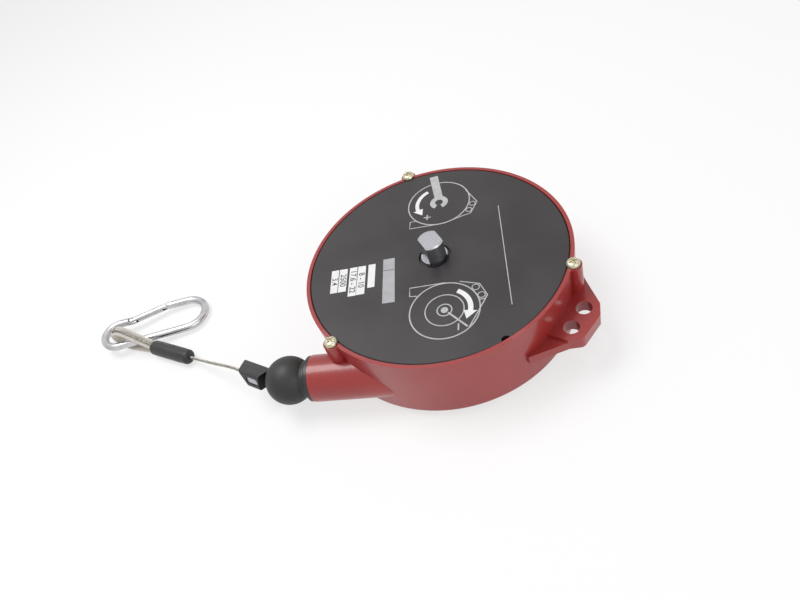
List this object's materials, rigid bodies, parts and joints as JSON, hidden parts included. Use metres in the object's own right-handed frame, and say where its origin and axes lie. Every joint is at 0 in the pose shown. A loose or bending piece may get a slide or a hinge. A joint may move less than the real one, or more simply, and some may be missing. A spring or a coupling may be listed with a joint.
{
  "type": "spring tool balancer",
  "caption": "Spring tool balancer with a round cast drum housing, suspension lug, wire rope, stop ball and snap hook.",
  "frame": {"origin": "drum axis at the rest face of the back boss", "axes": "+Z along the drum axis out of the front cover, -X along the outgoing rope"},
  "size_m": [0.4196, 0.1964, 0.0766],
  "materials": {
    "red_paint": "glossy red paint on cast aluminium",
    "black_plate": "satin black with pale line pictograms",
    "yellow_zinc": "yellow zinc plate",
    "bronze": "sintered bronze",
    "bright_steel": "bright zinc plate",
    "dark_steel": "oiled steel",
    "spring_steel": "blued spring steel",
    "cast_drum": "cast and turned aluminium",
    "wire_rope": "galvanised wire rope",
    "black_rubber": "matt black rubber",
    "black_plastic": "matt black plastic",
    "thimble_zinc": "pale grey plastic, slightly glossy",
    "hook_zinc": "bright zinc plate"
  },
  "bodies": {
    "housing": {"housing": "red_paint", "front_cover": "black_plate", "cover_screws": "yellow_zinc", "front_bush": "black_plastic", "back_bush": "bronze", "leaf_stud": "dark_steel", "pawl_spring": "spring_steel", "rope_guide": "black_plastic"},
    "shaft": {"spring_shaft": "bright_steel", "ratchet_wheel": "dark_steel", "ratchet_key": "dark_steel", "ratchet_spacer": "dark_steel", "thrust_washer": "dark_steel"},
    "pawl": {"pawl": "dark_steel", "pawl_pin": "bright_steel"},
    "drum": {"rope_drum": "cast_drum", "rope_windings": "wire_rope", "rope_anchor": "dark_steel", "spring_cover": "bright_steel", "spring_cover_screws": "yellow_zinc", "drum_bush_back": "bronze", "drum_bush_front": "bronze", "mainspring": "spring_steel"},
    "hook_end": {"stop_ball": "black_rubber", "load_rope": "wire_rope", "clamp_half_near": "black_plastic", "clamp_half_far": "black_plastic", "clamp_jaw": "bright_steel", "rope_tail": "wire_rope", "rope_sleeve": "black_rubber", "rope_ferrule": "bright_steel", "thimble": "thimble_zinc", "rope_eye": "wire_rope", "snap_hook": "hook_zinc", "gate_pin": "hook_zinc"},
    "gate": {"hook_gate": "hook_zinc"}
  },
  "joints": [
    {"name": "shaft_adjust", "type": "hinge", "parent": "housing", "child": "shaft", "pos_m": [0, 0, 0.03], "axis": [0, 0, 1], "range_deg": [0, 1800], "deforming": ["mainspring"]},
    {"name": "pawl_release", "type": "hinge", "parent": "housing", "child": "pawl", "pos_m": [-0.03002, 0.01596, 0.01], "axis": [0, 0, -1], "range_deg": [0, 20], "stiffness_Nm_per_rad": 0.02, "deforming": ["pawl_spring"]},
    {"name": "drum_spin", "type": "hinge", "parent": "housing", "child": "drum", "pos_m": [0, 0, 0.03], "axis": [0, 0, -1], "range_deg": [0, 1836], "stiffness_Nm_per_rad": 0.05, "springref_deg": -1718.87, "deforming": ["mainspring"]},
    {"name": "rope_payout", "type": "slide", "parent": "housing", "child": "hook_end", "axis": [-1, 0, 0], "range_m": [0, 2.5]},
    {"name": "gate_open", "type": "hinge", "parent": "hook_end", "child": "gate", "pos_m": [-0.2871, 0.01683, 0.00942], "axis": [-0.0803, -0.0208, -0.9966], "range_deg": [0, 25], "stiffness_Nm_per_rad": 0.01, "springref_deg": -17.19}
  ],
  "couplings": [
    {"joint": "rope_payout", "follows": "drum_spin", "m_per_rad": 0.078}
  ]
}
